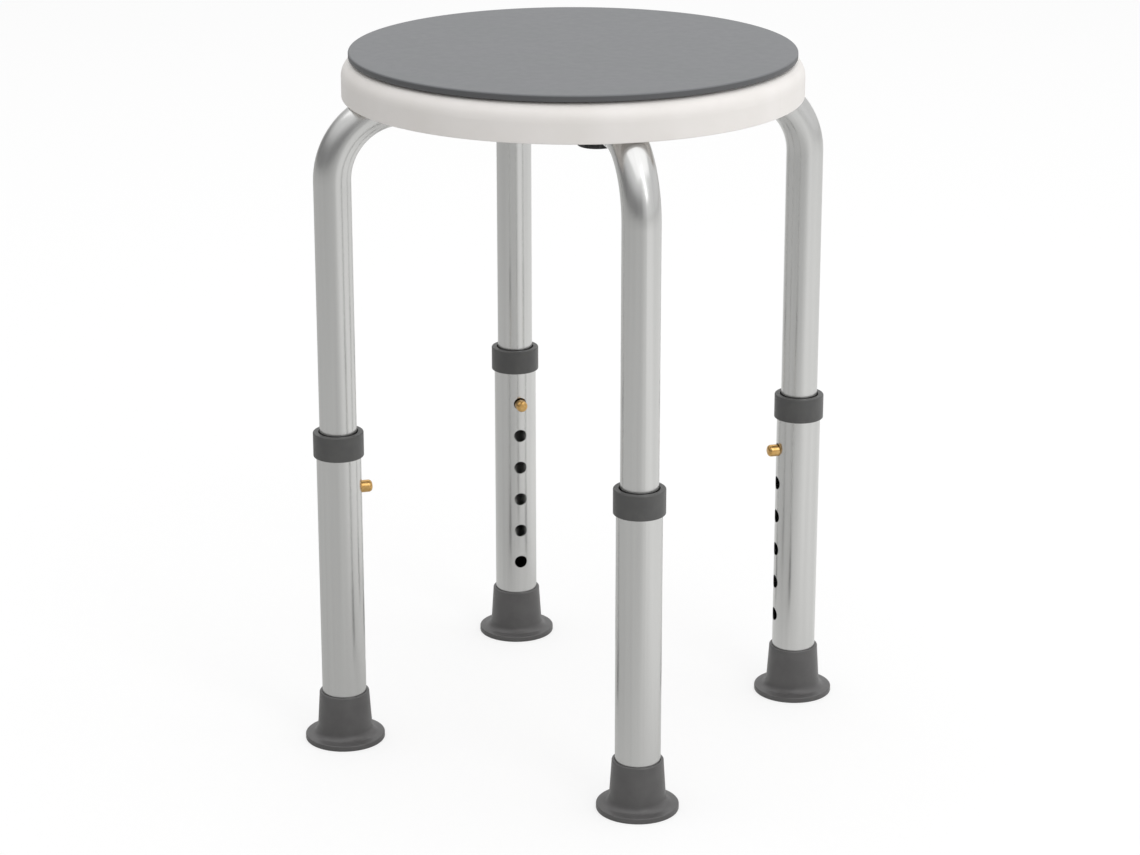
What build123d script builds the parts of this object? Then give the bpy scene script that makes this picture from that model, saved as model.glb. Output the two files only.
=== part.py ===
from build123d import *
import os

# A round shower stool on four bent tube legs, with a seat pad that turns.
# Millimetres. Z = 0 is the floor, and the Z axis is the axis that the pad turns on.

# where the legs stand
leg_angles = {"front_right": -45, "rear_right": 45, "rear_left": 135, "front_left": 225}
leg_circle = 165.7           # from the seat's axis to a leg's axis

# bent leg tube
tube_radius = 12.7
tube_wall = 1.2
tube_bottom = 169.0          # lower end, inside the lower tube and just below the button
run_height = 449.0           # centre line of the run under the seat
bend_radius = 48.0
run_end = 24.0               # inner end of the run, from the seat's axis
end_plug_length = 12.0
end_plug_head = 1.4
end_plug_wall = 2.5

# lower tube and its height holes
lower_radius = 15.3
lower_wall = 1.2
lower_bottom = 7.5
lower_top = 222.0
hole_count = 6
hole_pitch = 25.0
top_hole = 185.2
hole_radius = 4.7

# snap button and the leaf spring behind it
button_radius = 4.25
button_reach = 22.7          # tip, from the leg's axis
button_dome = 2.6
button_flange_radius = 5.8
button_flange_face = 9.8     # outer face of the flange, from the leg's axis
button_flange_thickness = 1.4
spring_sheet = 0.8
spring_width = 9.0
spring_length = 26.0
spring_bend = 6.0
spring_gap = 1.2             # between the far arm and the tube's wall

# collar and glide bush
collar_radius = 17.3
collar_bottom = 208.7
collar_top = 226.0
collar_edge = 0.9
collar_sleeve_bottom = 198.0
collar_mouth = 13.5
collar_mouth_depth = 3.0
bush_bottom = 166.0
bush_top = 178.5
bush_bore = 7.0
bush_lead = 1.2              # rounding that leads the bush into the tube
bush_wall = 2.0
bush_web = 4.0

# foot
foot_radius = 27.7
foot_edge = 3.8
foot_slope = 1.0             # rise of the flange from its edge to the waist
foot_waist_radius = 19.3
foot_flare = 4.8
foot_top_radius = 17.3
foot_top = 35.4
foot_web = 5.5               # rubber under the washer
foot_rounding = 0.7
foot_washer_bore = 6.0
tread_grooves = (9.0, 15.0, 21.0)
tread_width = 1.6
tread_depth = 1.2

# seat base
seat_radius = 155.5
seat_bottom = 451.2
seat_top = 476.7
seat_shoulder = 12.0
seat_shell = 3.0
shell_edge = 0.8
recess_radius = 139.0        # round recess in the top that holds the turntable
recess_floor = 468.0
island_radius = 80.0         # raised middle of the recess, over the knobs' inserts
island_top = 473.5
hub_radius = 42.0
hub_bottom = 434.0
nut_well_radius = 14.0
core_count = 4               # round cores that keep the hub's walls even
core_circle = 30.0
core_radius = 5.0
core_top = 462.0
rib_count = 12
rib_bottom = 455.0
rib_thickness = 2.2
rib_rings = (84.0, 128.0)    # the outer one leaves a channel for the fingers inside the rim
rib_tube_gap = 0.8
block_bottom = 450.0
block_half_width = 15.5
saddle_span = (106.0, 114.0)
boss_span = (48.0, 71.0)
boss_radius = 9.5
boss_bottom = 460.0
screw_boss_radius = 4.5
screw_boss_bottom = 456.5

# turntable
race_radius = 101.0
race_inner = 86.0
race_outer = 116.0
race_sheet = 2.0
ball_radius = 2.4
ball_height = 471.4
ball_count = 40
cage_sheet = 1.4
cage_half_width = 4.5
carrier_bottom = 474.8
carrier_top = 477.2
carrier_radius = 137.0
fixing_count = 6

# pivot
pivot_radius = 5.0
pivot_bottom = 446.0
pivot_head_radius = 9.0
pivot_head_height = 1.6
pivot_seat = 456.0           # face of the base that the pivot's washer bears on
pivot_washer_radius = 11.0
pivot_washer_bottom = 454.0
nut_corner_radius = 9.6
nut_bottom = 448.0
nut_height = 6.0

# screws of the lower race and rivets of the upper race
screw_circle = 110.5
screw_radius = 1.7
screw_tip = 458.0
screw_head_radius = 3.2
screw_head_height = 1.5
slot_width = 0.8
slot_depth = 0.7
rivet_circle = 91.5
rivet_radius = 2.0
rivet_head_radius = 3.4
rivet_head_height = 0.9
rivet_tail_radius = 3.0
rivet_tail_height = 1.2

# pad
pad_radius = 150.5
pad_top = 482.0
pad_edge = 1.4
pad_heel = 0.5

# hand knobs
knob_position = 59.5         # along the run, from the seat's axis
knob_radius = 13.2
knob_bottom = 428.5
knob_top = 435.3
knob_bottom_edge = 1.6
knob_top_edge = 0.8
knob_lobes = 8
scallop_radius = 3.2
scallop_centre = 15.4
stud_radius = 3.95
stud_bottom = 430.5
stud_top = 470.0
stud_tip = 0.6
insert_radius = 6.3
insert_bottom = 462.2
insert_top = 472.0
insert_pocket_bottom = 455.0
saddle_washer_radius = 9.0
saddle_washer_top = 441.0

running = 0.05               # radial clearance of pieces that slide or turn
seated = 0.02                # radial clearance of pieces that stay together
through = 0.35               # radial clearance of a stud or screw in a through hole
small_edge = 0.3             # rounding of small edges
joined = 1.0                 # how far a rib or boss runs into the wall that carries it
past = 1.0                   # how far a cut passes the face it opens

tube_bore = tube_radius - tube_wall
lower_bore = lower_radius - lower_wall
race_top = recess_floor + race_sheet
upper_race_bottom = carrier_bottom - race_sheet
# the weight leaves each button on the lower edge of its hole
button_height = top_hole - (hole_radius - button_radius - running)


def rod(radius, bottom, top):
    """Upright rod on the Z axis."""
    return Pos(0, 0, bottom) * extrude(Circle(radius), top - bottom)


def ring(outer, inner, bottom, top):
    """Flat ring about the Z axis."""
    return Pos(0, 0, bottom) * extrude(Circle(outer) - Circle(inner), top - bottom)


def turned(*corners):
    """Solid turned about the Z axis from corners of (radius, height, rounding)."""
    points = [(radius, height) for radius, height, rounding in corners]
    roundings = [rounding for radius, height, rounding in corners]
    outline = FilletPolyline(*points, radius=roundings, close=True)
    return revolve(Plane.XZ * make_face(outline), Axis.Z)


def around(shape, count, start=0.0):
    """Copies of a shape spread evenly round the Z axis."""
    step = 360 / count
    return [Rot(0, 0, start + step * i) * shape for i in range(count)]


def at_legs(shape):
    """Copies of a shape made on the +X side, one under each leg's run."""
    return around(shape, len(leg_angles), 45)


def run_pipe(radius, inner_end=run_end):
    """Solid along a leg tube's line: up the leg, round the bend, in under the seat."""
    line = FilletPolyline(
        (leg_circle, 0, tube_bottom),
        (leg_circle, 0, run_height),
        (inner_end, 0, run_height),
        radius=bend_radius,
    )
    return sweep(Plane(line @ 0, z_dir=line % 0) * Circle(radius), path=line)


def lying_rod(radius, inner, outer, height=run_height):
    """Rod along +X, from one distance from the Z axis to another."""
    return Pos(inner, 0, height) * (Rot(0, 90, 0) * extrude(Circle(radius), outer - inner))


def height_hole(height):
    """Rod that opens a round hole in the wall of a leg that faces the stool's centre."""
    return lying_rod(hole_radius, leg_circle - lower_radius - past, leg_circle - lower_bore / 2, height)


# one leg, made on the +X side and turned to its place

def leg_tube():
    """Bent tube with the button's hole, and the knob's hole through both walls."""
    tube = run_pipe(tube_radius) - run_pipe(tube_bore) - height_hole(button_height)
    knob_hole = rod(stud_radius + through, run_height - 2 * tube_radius, run_height + 2 * tube_radius)
    return tube - Pos(knob_position, 0, 0) * knob_hole


def tube_end_plug():
    """Hollow plug with a thin head that closes the inner end of the run."""
    inner_end = run_end + end_plug_length
    head = lying_rod(tube_radius - small_edge, run_end - end_plug_head, run_end)
    body = lying_rod(tube_bore - seated, run_end, inner_end)
    hollow = lying_rod(tube_bore - end_plug_wall, run_end + end_plug_head, inner_end)
    return head + body - hollow


def glide_bush():
    """Bush pushed over the lower end of the leg tube; it slides in the lower tube."""
    outer = lower_bore - running
    sleeve_bore = tube_radius + seated
    plug_radius = tube_bore - bush_wall
    return Pos(leg_circle, 0, 0) * turned(
        (bush_bore, bush_bottom, 0),
        (outer, bush_bottom, bush_lead),
        (outer, bush_top, bush_lead / 2),
        (sleeve_bore, bush_top, 0),
        (sleeve_bore, tube_bottom, 0),
        (plug_radius, tube_bottom, 0),
        (plug_radius, tube_bottom + bush_web, 0),
        (bush_bore, tube_bottom + bush_web, 0),
    )


def snap_button():
    """Domed pin with a flange inside the tube, pointing at the stool's centre."""
    flange_back = button_flange_face - button_flange_thickness
    pin = turned(
        (0, flange_back, 0),
        (button_flange_radius, flange_back, small_edge),
        (button_flange_radius, button_flange_face, small_edge),
        (button_radius, button_flange_face, 0),
        (button_radius, button_reach, button_dome),
        (0, button_reach, 0),
    )
    return Pos(leg_circle, 0, button_height) * (Rot(0, -90, 0) * pin)


def button_spring():
    """Bent leaf: one arm behind the button, one on the far wall, joined above."""
    flange_back = button_flange_face - button_flange_thickness
    near_arm = leg_circle - flange_back + seated + spring_sheet / 2
    far_arm = leg_circle + tube_bore - spring_gap - spring_sheet / 2
    low = button_height - button_flange_radius
    high = low + spring_length
    line = FilletPolyline(
        (near_arm, 0, low),
        (near_arm, 0, high),
        (far_arm, 0, high),
        (far_arm, 0, low),
        radius=spring_bend,
    )
    strip = Plane(line @ 0, x_dir=(1, 0, 0), z_dir=line % 0) * Rectangle(spring_sheet, spring_width)
    inside_tube = Pos(leg_circle, 0, 0) * rod(tube_bore - small_edge, low - past, high + past)
    return sweep(strip, path=line) & inside_tube


def hand_knob():
    """Low knob with finger scallops and a blind hole for its stud."""
    knob = turned(
        (0, knob_bottom, 0),
        (knob_radius, knob_bottom, knob_bottom_edge),
        (knob_radius, knob_top, knob_top_edge),
        (0, knob_top, 0),
    )
    scallop = Pos(scallop_centre, 0, 0) * rod(scallop_radius, knob_bottom - past, knob_top + past)
    blind_hole = rod(stud_radius + seated, stud_bottom, knob_top + past)
    return Pos(knob_position, 0, 0) * knob.cut(*around(scallop, knob_lobes), blind_hole)


def knob_stud():
    """Plain rod that stands for the stud's thread."""
    return Pos(knob_position, 0, 0) * turned(
        (0, stud_bottom, 0),
        (stud_radius, stud_bottom, 0),
        (stud_radius, stud_top, stud_tip),
        (0, stud_top, 0),
    )


def saddle_washer():
    """Washer between knob and tube, hollowed to the tube's round underside."""
    blank = ring(saddle_washer_radius, stud_radius + through, knob_top + running, saddle_washer_top)
    outer_end = knob_position + 2 * saddle_washer_radius
    return Pos(knob_position, 0, 0) * blank - lying_rod(tube_radius + seated, run_end, outer_end)


def insert_nut():
    """Threaded insert in the seat base, closed in above."""
    sleeve = ring(insert_radius, stud_radius + running, insert_bottom, insert_top)
    return Pos(knob_position, 0, 0) * sleeve


def lower_tube():
    """Straight tube with a row of height holes that face the stool's centre."""
    tube = Pos(leg_circle, 0, 0) * ring(lower_radius, lower_bore, lower_bottom, lower_top)
    holes = [height_hole(top_hole - hole_pitch * i) for i in range(hole_count)]
    return tube.cut(*holes)


def collar():
    """Cap on the lower tube's top: a skirt outside, a guide sleeve inside."""
    guide = tube_radius + running
    return Pos(leg_circle, 0, 0) * turned(
        (guide, collar_sleeve_bottom, 0),
        (lower_bore - seated, collar_sleeve_bottom, 0),
        (lower_bore - seated, lower_top, 0),
        (lower_radius + seated, lower_top, 0),
        (lower_radius + seated, collar_bottom, small_edge),
        (collar_radius, collar_bottom, 2 * small_edge),
        (collar_radius, collar_top, collar_edge),
        (collar_mouth, collar_top, small_edge),
        (collar_mouth, collar_top - collar_mouth_depth, 0),
        (guide, collar_top - collar_mouth_depth, 0),
    )


def foot():
    """Rubber foot: a cup that grips the tube, flaring to a wide flange with a ring tread."""
    grip = lower_radius + seated
    rubber = turned(
        (0, 0, 0),
        (foot_radius, 0, foot_rounding),
        (foot_radius, foot_edge, foot_rounding),
        (foot_waist_radius, foot_edge + foot_slope, foot_flare),
        (foot_top_radius, foot_top, foot_rounding),
        (grip, foot_top, small_edge),
        (grip, foot_web, 0),
        (0, foot_web, 0),
    )
    half = tread_width / 2
    grooves = [ring(radius + half, radius - half, -past, tread_depth) for radius in tread_grooves]
    return Pos(leg_circle, 0, 0) * rubber.cut(*grooves)


def foot_washer():
    """Steel washer that keeps the tube's end from cutting through the rubber."""
    return Pos(leg_circle, 0, 0) * ring(lower_radius - small_edge, foot_washer_bore, foot_web, lower_bottom)


# seat base

def seat_shell_body():
    """Shallow dish, open below, with the turntable's recess in its top."""
    inner = seat_radius - seat_shell
    under_recess = recess_floor - seat_shell
    return turned(
        (seat_radius, seat_bottom, shell_edge),
        (seat_radius, seat_top, seat_shoulder),
        (recess_radius, seat_top, shell_edge),
        (recess_radius, recess_floor, 0),
        (island_radius, recess_floor, 0),
        (island_radius, island_top, shell_edge),
        (0, island_top, 0),
        (0, island_top - seat_shell, 0),
        (island_radius - seat_shell, island_top - seat_shell, 0),
        (island_radius - seat_shell, under_recess, 0),
        (recess_radius + seat_shell, under_recess, 0),
        (recess_radius + seat_shell, seat_top - seat_shell, 0),
        (inner, seat_top - seat_shell, seat_shoulder - seat_shell),
        (inner, seat_bottom, shell_edge),
    )


def seat_ribs():
    """Ring and radial ribs under the dish, cut clear of the leg tubes."""
    ceiling = recess_floor - joined
    half = rib_thickness / 2
    ribs = [ring(radius + half, radius - half, rib_bottom, ceiling) for radius in rib_rings]
    reach = max(rib_rings)
    bar = Pos(reach / 2, 0, rib_bottom) * extrude(Rectangle(reach, rib_thickness), ceiling - rib_bottom)
    ribs += around(bar, rib_count)
    clear = at_legs(run_pipe(tube_radius + rib_tube_gap, inner_end=0))
    return ribs[0].fuse(*ribs[1:]).cut(*clear)


def leg_block(span):
    """Block under the dish that a leg tube is let into."""
    inner, outer = span
    face = Rectangle(outer - inner, 2 * block_half_width)
    return Pos((inner + outer) / 2, 0, block_bottom) * extrude(face, recess_floor - joined - block_bottom)


def seat_base():
    """Dish, ribs, hub with a closed socket for each tube's end, saddles and bosses."""
    ceiling = recess_floor - joined
    knob_boss = Pos(knob_position, 0, 0) * rod(boss_radius, boss_bottom, island_top - joined)
    screw_boss = Pos(screw_circle, 0, 0) * rod(screw_boss_radius, screw_boss_bottom, ceiling)
    base = (seat_shell_body() + rod(hub_radius, hub_bottom, island_top - joined)).fuse(
        seat_ribs(),
        *at_legs(leg_block(saddle_span)),
        *at_legs(leg_block(boss_span) + knob_boss),
        *around(screw_boss, fixing_count),
    )
    below = hub_bottom - past
    socket = lying_rod(tube_radius + seated, run_end - end_plug_head - seated, max(saddle_span) + past)
    core = Pos(core_circle, 0, 0) * rod(core_radius, below, core_top)
    pocket = rod(insert_radius + seated, insert_pocket_bottom, insert_top + seated)
    pilot = rod(screw_radius + seated, screw_tip - seated, recess_floor + past)
    return base.cut(
        *at_legs(socket),
        *around(core, core_count),
        *at_legs(Pos(knob_position, 0, 0) * pocket),
        *around(Pos(screw_circle, 0, 0) * pilot, fixing_count),
        rod(pivot_radius + running, below, seat_top),
        rod(nut_well_radius, below, pivot_seat),
    )


# turntable

def ball_track():
    """Round groove that the balls run in, half in each race."""
    return Pos(0, 0, ball_height) * Torus(race_radius, ball_radius + running)


def lower_race():
    race = ring(race_outer, race_inner, recess_floor, race_top) - ball_track()
    hole = rod(screw_radius + through, recess_floor - past, race_top + past)
    return race.cut(*around(Pos(screw_circle, 0, 0) * hole, fixing_count))


def upper_race():
    race = ring(race_outer, race_inner, upper_race_bottom, carrier_bottom) - ball_track()
    hole = rod(rivet_radius + seated, upper_race_bottom - past, carrier_bottom + past)
    return race.cut(*around(Pos(rivet_circle, 0, 0) * hole, fixing_count, 30))


def race_balls():
    ball = Pos(race_radius, 0, ball_height) * Sphere(ball_radius)
    return Compound(around(ball, ball_count))


def ball_cage():
    """Thin ring that keeps the balls evenly spaced."""
    low = ball_height - cage_sheet / 2
    high = ball_height + cage_sheet / 2
    cage = ring(race_radius + cage_half_width, race_radius - cage_half_width, low, high)
    pocket = rod(ball_radius + running, low - past, high + past)
    return cage.cut(*around(Pos(race_radius, 0, 0) * pocket, ball_count))


def carrier_disc():
    """Flat disc that carries the pad, let in for the pivot's and the rivets' heads."""
    below = carrier_bottom - past
    above = carrier_top + past
    rivet_hole = rod(rivet_radius + seated, below, above)
    rivet_hole += rod(rivet_head_radius + seated, carrier_top - rivet_head_height, above)
    return rod(carrier_radius, carrier_bottom, carrier_top).cut(
        rod(pivot_radius + seated, below, above),
        rod(pivot_head_radius + seated, carrier_top - pivot_head_height, above),
        *around(Pos(rivet_circle, 0, 0) * rivet_hole, fixing_count, 30),
    )


def race_screws():
    """Slotted pan-head screws that hold the lower race on the base."""
    head_top = race_top + screw_head_height
    screw = rod(screw_radius, screw_tip, race_top) + rod(screw_head_radius, race_top, head_top)
    slot = Pos(0, 0, head_top) * Box(2 * screw_head_radius + past, slot_width, 2 * slot_depth)
    return Compound(around(Pos(screw_circle, 0, 0) * (screw - slot), fixing_count))


def carrier_rivets():
    """Rivets that hold the upper race on the carrier disc."""
    tail_bottom = upper_race_bottom - rivet_tail_height
    rivet = rod(rivet_radius, tail_bottom, carrier_top)
    rivet += rod(rivet_head_radius, carrier_top - rivet_head_height, carrier_top)
    rivet += rod(rivet_tail_radius, tail_bottom, upper_race_bottom)
    return Compound(around(Pos(rivet_circle, 0, 0) * rivet, fixing_count, 30))


def pivot_bolt():
    """Bolt that the pad turns on; its head is let into the carrier disc."""
    head_bottom = carrier_top - pivot_head_height
    return turned(
        (0, pivot_bottom, 0),
        (pivot_radius, pivot_bottom, shell_edge),
        (pivot_radius, head_bottom, 0),
        (pivot_head_radius, head_bottom, 0),
        (pivot_head_radius, carrier_top, small_edge),
        (0, carrier_top, 0),
    )


def pivot_washer():
    return ring(pivot_washer_radius, pivot_radius + seated, pivot_washer_bottom, pivot_seat - running)


def pivot_nut():
    hexagon = RegularPolygon(radius=nut_corner_radius, side_count=6)
    return Pos(0, 0, nut_bottom) * extrude(hexagon - Circle(pivot_radius + seated), nut_height)


def seat_pad():
    """Thin firm pad, flat above and below."""
    return turned(
        (0, carrier_top, 0),
        (pad_radius, carrier_top, pad_heel),
        (pad_radius, pad_top, pad_edge),
        (0, pad_top, 0),
    )


leg_pieces = {
    "leg_tube": leg_tube,
    "tube_end_plug": tube_end_plug,
    "glide_bush": glide_bush,
    "snap_button": snap_button,
    "button_spring": button_spring,
    "hand_knob": hand_knob,
    "knob_stud": knob_stud,
    "lower_tube": lower_tube,
    "collar": collar,
    "foot": foot,
    "foot_washer": foot_washer,
}
grouped_pieces = {
    "insert_nuts": insert_nut,
    "saddle_washers": saddle_washer,
}
seat_pieces = {
    "seat_base": seat_base,
    "lower_race": lower_race,
    "race_screws": race_screws,
    "race_balls": race_balls,
    "ball_cage": ball_cage,
    "upper_race": upper_race,
    "carrier_rivets": carrier_rivets,
    "carrier_disc": carrier_disc,
    "pivot_bolt": pivot_bolt,
    "pivot_washer": pivot_washer,
    "pivot_nut": pivot_nut,
    "seat_pad": seat_pad,
}

os.makedirs("parts", exist_ok=True)
for name, make in seat_pieces.items():
    export_step(make(), f"parts/{name}.step")
for name, make in grouped_pieces.items():
    export_step(Compound(at_legs(make())), f"parts/{name}.step")
for name, make in leg_pieces.items():
    piece = make()
    for place, angle in leg_angles.items():
        export_step(Rot(0, 0, angle) * piece, f"parts/{name}_{place}.step")
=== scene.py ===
import math

import bmesh
import bpy
import numpy as np
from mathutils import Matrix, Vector


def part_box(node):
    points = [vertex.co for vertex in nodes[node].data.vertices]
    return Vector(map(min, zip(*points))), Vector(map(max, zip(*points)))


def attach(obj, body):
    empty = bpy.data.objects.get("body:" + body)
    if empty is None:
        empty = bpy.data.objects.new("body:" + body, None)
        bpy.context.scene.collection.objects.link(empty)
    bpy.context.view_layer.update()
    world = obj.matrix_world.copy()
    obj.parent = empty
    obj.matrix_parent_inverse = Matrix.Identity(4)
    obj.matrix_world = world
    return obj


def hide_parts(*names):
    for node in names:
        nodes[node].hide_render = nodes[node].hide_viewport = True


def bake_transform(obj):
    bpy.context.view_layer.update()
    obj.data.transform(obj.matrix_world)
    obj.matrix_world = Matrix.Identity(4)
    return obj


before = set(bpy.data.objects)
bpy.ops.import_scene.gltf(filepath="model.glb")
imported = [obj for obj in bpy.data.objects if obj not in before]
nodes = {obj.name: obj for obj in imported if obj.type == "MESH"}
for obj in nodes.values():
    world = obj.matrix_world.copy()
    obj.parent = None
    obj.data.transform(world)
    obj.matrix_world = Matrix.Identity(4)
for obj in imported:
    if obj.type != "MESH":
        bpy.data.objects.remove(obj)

scene = bpy.context.scene
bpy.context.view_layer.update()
places = ("front_right", "rear_right", "rear_left", "front_left")
perMetre = 1000   # millimetres
print("frame loaded:", len(nodes), "nodes")


def srgb(hexColour):
    # hex colour as a screen shows it, to the linear RGBA that a shader works in
    channels = np.array([int(hexColour[i:i + 2], 16) for i in (1, 3, 5)]) / 255
    linear = np.where(channels <= 0.04045, channels / 12.92, ((channels + 0.055) / 1.055) ** 2.4)
    return (*linear.tolist(), 1.0)


def addNode(tree, kind, properties, inputs):
    # one node: properties are set on it, and an input takes either a value or a link from a socket
    node = tree.nodes.new(kind)
    for name, value in properties.items():
        setattr(node, name, value)
    for name, value in inputs.items():
        if isinstance(value, bpy.types.NodeSocket):
            tree.links.new(value, node.inputs[name])
        else:
            node.inputs[name].default_value = value
    return node


# a Mix node has sockets of the same name for every kind of value, so its colours go by number
mixFirst, mixSecond, mixResult = 6, 7, 2


camera = {
    "azimuth": 29.48,     # degrees round from the front, so that one leg comes nearest
    "distance": 2.0683,   # metres from the stool's axis, on the floor plan
    "sideways": 0.0160,   # metres to the right of the axis
    "height": 0.8925,     # metres above the floor
    "pitch": 18.15,       # degrees down
    "yaw": 0.5,           # degrees to the left
    "lens": 98.8,         # millimetres
    "sensor": 36,         # millimetres wide
    "sight": 100,         # metres that it sees
}


def addCamera(c):
    turn = math.radians(c["azimuth"])
    back = Vector((math.sin(turn), -math.cos(turn), 0))
    right = Vector((math.cos(turn), math.sin(turn), 0))
    data = bpy.data.cameras.new("camera")
    data.lens = c["lens"]
    data.sensor_width = c["sensor"]
    data.clip_end = c["sight"]
    obj = bpy.data.objects.new("camera", data)
    obj.location = back * c["distance"] + right * c["sideways"] + Vector((0, 0, c["height"]))
    obj.rotation_euler = (math.radians(90 - c["pitch"]), 0, turn + math.radians(c["yaw"]))
    scene.collection.objects.link(obj)
    scene.camera = obj


addCamera(camera)
print("camera set")


# a pale studio: the room is bright on one side and above, and dim on the other side
studio = {
    "brightSide": 52,         # degrees from +X towards +Y
    "dimWall": "#9A9A9A",
    "brightWall": "#FFFFFF",
    "wallStrength": 0.79,
    "spread": (-0.5, 0.25),   # where the walls brighten, as cosines from the bright side
    "ceiling": "#FFFFFF",
    "cove": (0.2, 0.65),      # where the walls turn into the ceiling, as sines of the elevation
    "seen": "#FFFFFF",        # what the eye sees past the floor's edge
    # the lights, in metres and watts
    "softBox": {"place": (0.1, 0.2, 3.0), "target": (0, 0, 0.2), "size": (5.0, 5.0), "power": 44},
    "keyBox": {"place": (1.9, -0.9, 1.9), "target": (0, 0, 0.3), "size": (0.8, 1.6), "power": 7.5},
    "floor": "#FFFFFF",
    "floorGlow": 0.7,         # the floor is a light table under its white sheet
    "floorSize": 60.0,        # metres
    "cardDim": "#C6C6C5",     # grey cards round the stand, as reflections find them
    "cardBright": "#ECECEB",
    "cardReach": 0.35,        # metres from the stand to the end of the shading
}


def shadeAcross(tree, vector, azimuth, limits, colours):
    # from one colour to the other as the vector turns to the bright side
    side = (math.cos(math.radians(azimuth)), math.sin(math.radians(azimuth)), 0)
    toward = addNode(tree, "ShaderNodeVectorMath", {"operation": "DOT_PRODUCT"}, {0: vector, 1: side})
    blend = addNode(tree, "ShaderNodeMapRange", {"interpolation_type": "SMOOTHSTEP"}, {
        "Value": toward.outputs["Value"], "From Min": limits[0], "From Max": limits[1],
    })
    both = addNode(tree, "ShaderNodeMix", {"data_type": "RGBA"}, {
        "Factor": blend.outputs["Result"], mixFirst: srgb(colours[0]), mixSecond: srgb(colours[1]),
    })
    return both.outputs[mixResult]


def addRoom(s):
    world = bpy.data.worlds.new("room")
    world.use_nodes = True
    tree = world.node_tree
    direction = addNode(tree, "ShaderNodeTexCoord", {}, {}).outputs["Generated"]
    walls = shadeAcross(tree, direction, s["brightSide"], s["spread"], (s["dimWall"], s["brightWall"]))
    axes = addNode(tree, "ShaderNodeSeparateXYZ", {}, {"Vector": direction})
    rise = addNode(tree, "ShaderNodeMapRange", {"interpolation_type": "SMOOTHSTEP"}, {
        "Value": axes.outputs["Z"], "From Min": s["cove"][0], "From Max": s["cove"][1],
    })
    room = addNode(tree, "ShaderNodeMix", {"data_type": "RGBA"}, {
        "Factor": rise.outputs["Result"], mixFirst: walls, mixSecond: srgb(s["ceiling"]),
    })
    lit = tree.nodes["Background"]
    tree.links.new(room.outputs[mixResult], lit.inputs["Color"])
    lit.inputs["Strength"].default_value = s["wallStrength"]
    seen = addNode(tree, "ShaderNodeBackground", {}, {"Color": srgb(s["seen"]), "Strength": 1.0})
    eye = addNode(tree, "ShaderNodeLightPath", {}, {}).outputs["Is Camera Ray"]
    both = addNode(tree, "ShaderNodeMixShader", {}, {0: eye, 1: lit.outputs[0], 2: seen.outputs[0]})
    tree.links.new(both.outputs[0], tree.nodes["World Output"].inputs["Surface"])
    scene.world = world
    scene.view_settings.view_transform = "Standard"


def addSoftBox(name, box):
    data = bpy.data.lights.new(name, "AREA")
    data.shape = "RECTANGLE"
    data.size, data.size_y = box["size"]
    data.energy = box["power"]
    obj = bpy.data.objects.new(name, data)
    obj.location = box["place"]
    aim = Vector(box["target"]) - Vector(box["place"])
    obj.rotation_euler = aim.to_track_quat("-Z", "Y").to_euler()
    scene.collection.objects.link(obj)


def addFloor(s):
    # a pale sheet to the eye; all else sees grey cards, dim on one side, as round a stand in a studio
    half = s["floorSize"] / 2
    corners = [(-half, -half, 0), (half, -half, 0), (half, half, 0), (-half, half, 0)]
    mesh = bpy.data.meshes.new("floor")
    mesh.from_pydata(corners, [], [(0, 1, 2, 3)])
    obj = bpy.data.objects.new("floor", mesh)
    scene.collection.objects.link(obj)
    material = bpy.data.materials.new("paleFloor")
    material.use_nodes = True
    tree = material.node_tree
    tree.nodes.remove(tree.nodes["Principled BSDF"])
    place = addNode(tree, "ShaderNodeTexCoord", {}, {}).outputs["Object"]
    reach = (-s["cardReach"], s["cardReach"])
    cards = shadeAcross(tree, place, s["brightSide"], reach, (s["cardDim"], s["cardBright"]))
    card = addNode(tree, "ShaderNodeBsdfDiffuse", {}, {"Color": cards})
    sheet = addNode(tree, "ShaderNodeBsdfDiffuse", {}, {"Color": srgb(s["floor"])})
    glow = addNode(tree, "ShaderNodeEmission", {}, {"Color": srgb(s["floor"]), "Strength": 1.0})
    table = addNode(tree, "ShaderNodeMixShader", {}, {
        0: s["floorGlow"], 1: sheet.outputs[0], 2: glow.outputs[0],
    })
    eye = addNode(tree, "ShaderNodeLightPath", {}, {}).outputs["Is Camera Ray"]
    both = addNode(tree, "ShaderNodeMixShader", {}, {0: eye, 1: card.outputs[0], 2: table.outputs[0]})
    tree.links.new(both.outputs[0], tree.nodes["Material Output"].inputs["Surface"])
    mesh.materials.append(material)


addRoom(studio)
addSoftBox("softBox", studio["softBox"])
addSoftBox("keyBox", studio["keyBox"])
addFloor(studio)
print("studio set")


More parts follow.
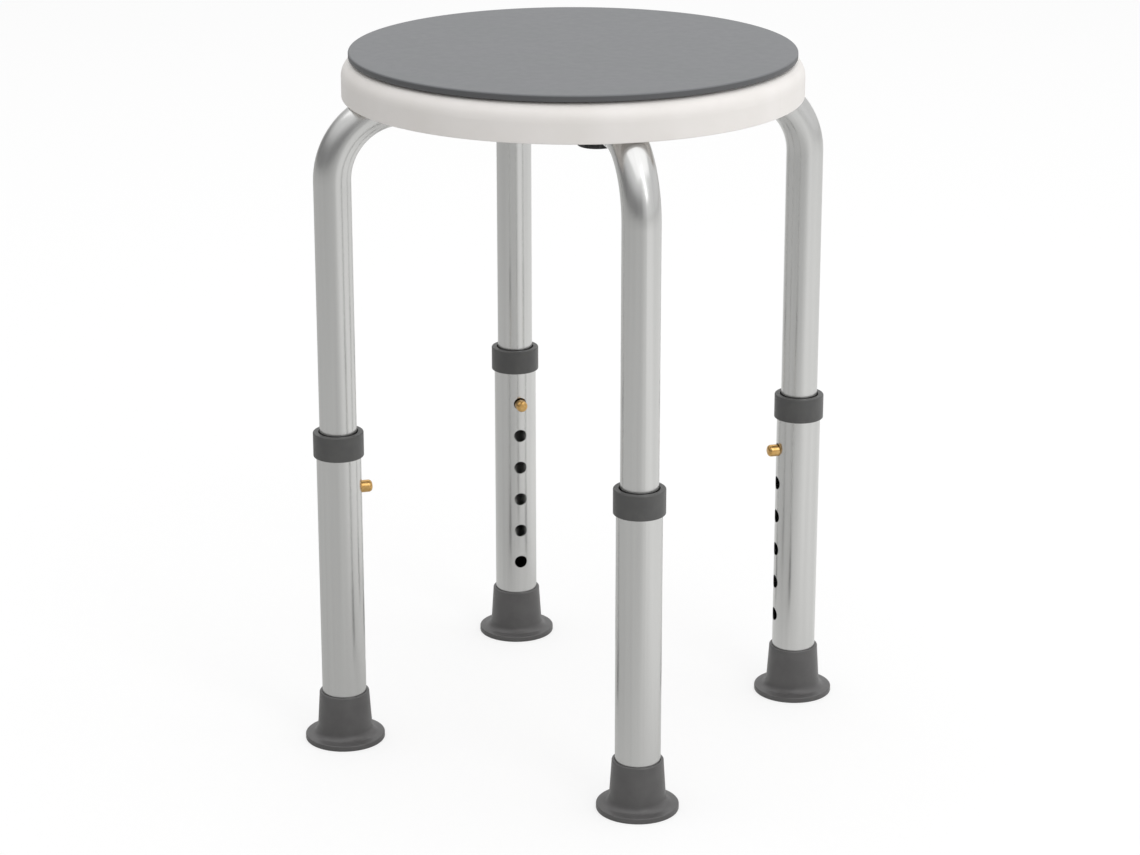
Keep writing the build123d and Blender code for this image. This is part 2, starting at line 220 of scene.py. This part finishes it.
def alongTube(tree, place, t):
    # the bent tubes' own coordinates: across, sideways and, much shortened, along.
    # The legs stand on the diagonals, so outward = (|x| + |y|) / root 2 and sideways = (|x| - |y|) / root 2.
    # Past the bend's centre, across = distance from that centre - bend radius
    bendRadius = t["bendRadius"] / perMetre
    steps = (
        ("right", "ABSOLUTE", "X", 0.0),
        ("forward", "ABSOLUTE", "Y", 0.0),
        ("sum", "ADD", "right", "forward"),
        ("outward", "MULTIPLY", "sum", math.sqrt(0.5)),
        ("difference", "SUBTRACT", "right", "forward"),
        ("sideways", "MULTIPLY", "difference", math.sqrt(0.5)),
        ("fromCentreOut", "SUBTRACT", "outward", t["legCircle"] / perMetre - bendRadius),
        ("bendOut", "MAXIMUM", "fromCentreOut", 0.0),
        ("fromCentreUp", "SUBTRACT", "Z", t["runHeight"] / perMetre - bendRadius),
        ("bendUp", "MAXIMUM", "fromCentreUp", 0.0),
        ("outSquared", "POWER", "bendOut", 2.0),
        ("upSquared", "POWER", "bendUp", 2.0),
        ("squares", "ADD", "outSquared", "upSquared"),
        ("reach", "SQRT", "squares", 0.0),
        ("across", "SUBTRACT", "reach", bendRadius),
        ("climb", "SUBTRACT", "Z", "outward"),
        ("along", "DIVIDE", "climb", t["stretch"]),
    )
    found = dict(addNode(tree, "ShaderNodeSeparateXYZ", {}, {"Vector": place}).outputs)
    for name, operation, first, second in steps:
        terms = {0: found[first], 1: found.get(second, second)}
        found[name] = addNode(tree, "ShaderNodeMath", {"operation": operation}, terms).outputs["Value"]
    line = {"X": found["across"], "Y": found["sideways"], "Z": found["along"]}
    return addNode(tree, "ShaderNodeCombineXYZ", {}, line).outputs["Vector"]


def paintSideShade(tree, place, skin, c):
    # painted shade: the skin's colour down to the shoulder, and a darker painted shade on the side below it
    height = addNode(tree, "ShaderNodeSeparateXYZ", {}, {"Vector": place}).outputs["Z"]
    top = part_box("seat_pad")[1].z
    rise = addNode(tree, "ShaderNodeMapRange", {"interpolation_type": "SMOOTHSTEP"}, {
        "Value": height,
        "From Min": top - c["below"] / perMetre,
        "From Max": top - c["above"] / perMetre,
    })
    both = addNode(tree, "ShaderNodeMix", {"data_type": "RGBA"}, {
        "Factor": rise.outputs["Result"], mixFirst: srgb(c["sideShade"]), mixSecond: skin,
    })
    return both.outputs[mixResult]


unevenness = {
    "range": (0.3, 0.7),      # most of what a noise gives lies between these
    "cloudDetail": 3.0,
    "glossDetail": 2.0,
    "grainDetail": 1.0,
}


def newFinish(name, f, u):
    # a finish that is a little uneven: colour in clouds, gloss in smaller clouds, bump in fine grain;
    # every size is in millimetres, and a drawn tube has the same patterns pulled out along it
    material = bpy.data.materials.new(name)
    material.use_nodes = True
    tree = material.node_tree
    shader = tree.nodes["Principled BSDF"]
    for socket, value in f["shader"].items():
        shader.inputs[socket].default_value = value
    place = addNode(tree, "ShaderNodeTexCoord", {}, {}).outputs["Object"]
    if "tube" in f:
        place = alongTube(tree, place, f["tube"])
    cloud, gloss, fine = [
        addNode(tree, "ShaderNodeTexNoise", {}, {
            "Vector": place, "Scale": perMetre / f[kind + "Size"], "Detail": u[kind + "Detail"],
        })
        for kind in ("cloud", "gloss", "grain")
    ]
    colour = addNode(tree, "ShaderNodeValToRGB", {}, {"Fac": cloud.outputs["Fac"]})
    for element, position, key in zip(colour.color_ramp.elements, u["range"], ("dark", "bright")):
        element.position = position
        element.color = srgb(f[key])
    painted = colour.outputs["Color"]
    # the pad's side gets a darker colour here: painted shade
    if "shadedSide" in f:
        painted = paintSideShade(tree, place, painted, f["shadedSide"])
    tree.links.new(painted, shader.inputs["Base Color"])
    rough = addNode(tree, "ShaderNodeMapRange", {}, {
        "Value": gloss.outputs["Fac"],
        "From Min": u["range"][0],
        "From Max": u["range"][1],
        "To Min": f["roughness"][0],
        "To Max": f["roughness"][1],
    })
    tree.links.new(rough.outputs["Result"], shader.inputs["Roughness"])
    bump = addNode(tree, "ShaderNodeBump", {}, {
        "Height": fine.outputs["Fac"],
        "Strength": f["grainStrength"],
        "Distance": f["grainDepth"] / perMetre,
    })
    tree.links.new(bump.outputs["Normal"], shader.inputs["Normal"])
    return material


whitePolypropylene = {
    # injection moulded in a spark-eroded tool: milky white, satin, soft highlights on the shoulder
    "shader": {"IOR": 1.49, "Subsurface Weight": 0.04, "Subsurface Radius": (0.004, 0.004, 0.004)},
    "dark": "#F3EFEB",
    "bright": "#F8F4F1",
    "cloudSize": 35,
    "roughness": (0.36, 0.46),
    "glossSize": 4,
    "grainSize": 0.8,        # the tool's texture is about half that; drawn coarser so that it shows
    "grainStrength": 0.12,
    "grainDepth": 0.05,
}
greyPolypropylene = {
    # moulded grey collars: satin, a little uneven where the mould filled
    "shader": {"IOR": 1.49},
    "dark": "#525252",
    "bright": "#585857",
    "cloudSize": 8,
    "roughness": (0.36, 0.46),
    "glossSize": 2,
    "grainSize": 0.5,
    "grainStrength": 0.2,
    "grainDepth": 0.05,
}
greyRubber = {
    # moulded rubber feet: soft sheen on the curves, fine grain
    "shader": {"IOR": 1.52},
    "dark": "#575656",
    "bright": "#5F5E5E",
    "cloudSize": 12,
    "roughness": (0.3, 0.4),
    "glossSize": 1.5,
    "grainSize": 0.4,
    "grainStrength": 0.25,
    "grainDepth": 0.06,
}
blackNylon = {
    # glass-filled nylon knobs: near black, half gloss
    "shader": {"IOR": 1.53},
    "dark": "#141415",
    "bright": "#1C1C1D",
    "cloudSize": 5,
    "roughness": (0.34, 0.46),
    "glossSize": 1.5,
    "grainSize": 0.4,
    "grainStrength": 0.2,
    "grainDepth": 0.04,
}
darkPolythene = {
    # soft dark polythene, the hidden plugs, washers and bushes: waxy
    "shader": {"IOR": 1.51},
    "dark": "#2B2C2D",
    "bright": "#343536",
    "cloudSize": 6,
    "roughness": (0.42, 0.55),
    "glossSize": 2,
    "grainSize": 0.6,
    "grainStrength": 0.15,
    "grainDepth": 0.04,
}
naturalNylon = {
    # uncoloured nylon, the ball cage: cream, waxy
    "shader": {"IOR": 1.53},
    "dark": "#D8D4C9",
    "bright": "#E3DFD5",
    "cloudSize": 6,
    "roughness": (0.38, 0.5),
    "glossSize": 2,
    "grainSize": 0.6,
    "grainStrength": 0.15,
    "grainDepth": 0.04,
}
zincPlate = {
    # bright zinc on pressed steel: cool grey, faint spangle
    "shader": {"Metallic": 1.0},
    "dark": "#B2B5BA",
    "bright": "#C4C7CC",
    "cloudSize": 2.5,
    "roughness": (0.26, 0.38),
    "glossSize": 1.2,
    "grainSize": 0.5,
    "grainStrength": 0.12,
    "grainDepth": 0.03,
}
springSteel = {
    # hardened strip, the button springs: darker grey with a rolled surface
    "shader": {"Metallic": 1.0},
    "dark": "#7A7C81",
    "bright": "#8C8E93",
    "cloudSize": 2,
    "roughness": (0.28, 0.38),
    "glossSize": 1,
    "grainSize": 0.4,
    "grainStrength": 0.12,
    "grainDepth": 0.03,
}
polishedSteel = {
    # ground and polished bearing balls: close to a mirror
    "shader": {"Metallic": 1.0},
    "dark": "#C6C8CC",
    "bright": "#D0D2D6",
    "cloudSize": 3,
    "roughness": (0.07, 0.12),
    "glossSize": 1,
    "grainSize": 0.5,
    "grainStrength": 0.03,
    "grainDepth": 0.01,
}
turnedBrass = {
    # free-cutting brass off a lathe, the snap buttons and inserts: bright yellow metal, faintly uneven
    "shader": {"Metallic": 1.0},
    "dark": "#CFA261",
    "bright": "#DDB677",
    "cloudSize": 2,
    "roughness": (0.18, 0.3),
    "glossSize": 0.6,
    "grainSize": 0.35,
    "grainStrength": 0.1,
    "grainDepth": 0.03,
}
padSkin = {
    # closed-cell foam under a smooth grey skin, the pad: half matte, with a fine pebble
    "shader": {"IOR": 1.45},
    "dark": "#747678",
    "bright": "#76777A",
    "cloudSize": 60,
    "roughness": (0.44, 0.48),
    "glossSize": 6,
    "grainSize": 0.7,
    "grainStrength": 0.1,
    "grainDepth": 0.05,
    "shadedSide": {              # the side is painted darker than the top: painted shade
        "sideShade": "#5C5D5F",
        "above": 0.9,         # millimetres below the top where the skin's colour starts to give way to the painted shade
        "below": 1.7,
    },
}
anodisedTube = {
    # drawn aluminium tube, clear anodised: satin metal with faint lines along its length
    "shader": {"Metallic": 1.0},
    "dark": "#D1D1D0",
    "bright": "#DADAD9",
    "cloudSize": 4,
    "roughness": (0.2, 0.26),
    "glossSize": 1.5,
    "grainSize": 1.0,        # drawing lines are finer; drawn this wide so that they show
    "grainStrength": 0.1,
    "grainDepth": 0.02,
    "tube": {
        "legCircle": 165.7,  # from the stool's axis to a leg's axis
        "bendRadius": 48,
        "runHeight": 449,
        "stretch": 120,      # how much longer than wide a drawn line is
    },
}


def allFinishes():
    recipes = {
        "whitePolypropylene": whitePolypropylene,
        "greyPolypropylene": greyPolypropylene,
        "greyRubber": greyRubber,
        "blackNylon": blackNylon,
        "darkPolythene": darkPolythene,
        "naturalNylon": naturalNylon,
        "zincPlate": zincPlate,
        "springSteel": springSteel,
        "polishedSteel": polishedSteel,
        "turnedBrass": turnedBrass,
        "padSkin": padSkin,
        "anodisedTube": anodisedTube,
    }
    return {name: newFinish(name, recipe, unevenness) for name, recipe in recipes.items()}


finishOf = {
    "seat_base": "whitePolypropylene",
    "leg_tube": "anodisedTube",
    "lower_tube": "anodisedTube",
    "collar": "greyPolypropylene",
    "foot": "greyRubber",
    "snap_button": "turnedBrass",
    "insert_nuts": "turnedBrass",
    "hand_knob": "blackNylon",
    "tube_end_plug": "darkPolythene",
    "glide_bush": "darkPolythene",
    "saddle_washers": "darkPolythene",
    "carrier_disc": "darkPolythene",
    "ball_cage": "naturalNylon",
    "button_spring": "springSteel",
    "race_balls": "polishedSteel",
    "knob_stud": "zincPlate",
    "foot_washer": "zincPlate",
    "lower_race": "zincPlate",
    "upper_race": "zincPlate",
    "race_screws": "zincPlate",
    "carrier_rivets": "zincPlate",
    "pivot_bolt": "zincPlate",
    "pivot_washer": "zincPlate",
    "pivot_nut": "zincPlate",
}


def finishFrame(materials):
    # every frame node gets the finish of its kind of piece
    for name, obj in nodes.items():
        kind = next((name.removesuffix("_" + place) for place in places if name.endswith(place)), name)
        if kind in finishOf:
            obj.data.materials.clear()
            obj.data.materials.append(materials[finishOf[kind]])


materials = allFinishes()
finishFrame(materials)
print("frame finished in", len(materials), "finishes")


def roundedCorner(centre, radius, start, end, count):
    # arc of (radius, height) points about a centre, between two angles in degrees
    angle = np.radians(np.linspace(start, end, count))
    return np.stack([centre[0] + radius * np.cos(angle), centre[1] + radius * np.sin(angle)], axis=1)


def turnedPiece(name, profile, steps, weld):
    # a profile of (radius, height) carried round Z: x = r cos a, y = r sin a, z = height
    angle = np.linspace(0, 2 * math.pi, steps, endpoint=False)
    radius, height = profile[:, :1], profile[:, 1:]
    points = np.stack([radius * np.cos(angle), radius * np.sin(angle), height + 0 * angle], axis=-1)
    rows = len(profile)
    index = np.arange(rows * steps).reshape(rows, steps)
    after = np.roll(index, -1, axis=1)
    quads = np.stack([index[:-1], index[1:], after[1:], after[:-1]], axis=-1).reshape(-1, 4)
    mesh = bpy.data.meshes.new(name)
    mesh.from_pydata(points.reshape(-1, 3), [], quads)
    work = bmesh.new()
    work.from_mesh(mesh)
    bmesh.ops.remove_doubles(work, verts=work.verts, dist=weld)   # closes the poles
    bmesh.ops.recalc_face_normals(work, faces=work.faces)
    work.to_mesh(mesh)
    work.free()
    mesh.shade_smooth()
    obj = bpy.data.objects.new(name, mesh)
    scene.collection.objects.link(obj)
    return obj


pad = {
    "topEdge": 0.0012,        # rounding of the cut edge
    "bottomEdge": 0.0008,
    "crown": 0.0004,          # rise of the middle over the edge
    "topPoints": 10,          # along each rounding
    "bottomPoints": 6,
    "rings": 40,
    "steps": 360,
    "weld": 0.000001,
}


def seatPad(p):
    # the top is a shallow crown: height = top - crown * (r / flat radius) squared
    low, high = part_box("seat_pad")
    radius, top, bottom = high.x, high.z, low.z
    flat = radius - p["topEdge"]
    heelRadius = radius - p["bottomEdge"]
    r = np.linspace(0, flat, p["rings"])
    crown = np.stack([r, top - p["crown"] * (r / flat) ** 2], axis=1)
    shoulder = roundedCorner((flat, top - p["crown"] - p["topEdge"]), p["topEdge"], 90, 0, p["topPoints"])
    heelCentre = (heelRadius, bottom + p["bottomEdge"])
    heel = roundedCorner(heelCentre, p["bottomEdge"], 0, -90, p["bottomPoints"])
    under = np.stack([np.linspace(heelRadius, 0, p["rings"]), np.full(p["rings"], bottom)], axis=1)
    profile = np.concatenate([crown, shoulder[1:], heel, under[1:]])
    obj = turnedPiece("padCushion", profile, p["steps"], p["weld"])
    obj.data.materials.append(materials["padSkin"])
    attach(obj, "seat")
    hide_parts("seat_pad")


seatPad(pad)
print("pad made")


leaf = {
    "weld": 0.0000001,        # the frame's triangles are loose, so their corners are joined first
    "arm": 0.001,             # metres at each side that move whole
    "sharpAngle": 30,         # degrees
}


def buttonLeaf(place, s):
    # the frame's spring, copied as a piece of its own: its loose corners joined, shaded smooth with sharp
    # edges kept, and the frame's own spring hidden
    node = nodes["button_spring_" + place]
    mesh = node.data.copy()
    work = bmesh.new()
    work.from_mesh(mesh)
    bmesh.ops.remove_doubles(work, verts=work.verts, dist=s["weld"])
    work.to_mesh(mesh)
    work.free()
    mesh.shade_smooth()
    mesh.set_sharp_from_angle(angle=math.radians(s["sharpAngle"]))
    obj = bpy.data.objects.new("buttonLeaf_" + place, mesh)
    scene.collection.objects.link(obj)
    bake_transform(obj)
    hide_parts(node.name)


for place in places:
    buttonLeaf(place, leaf)
print("button springs made")

print("scene ready")
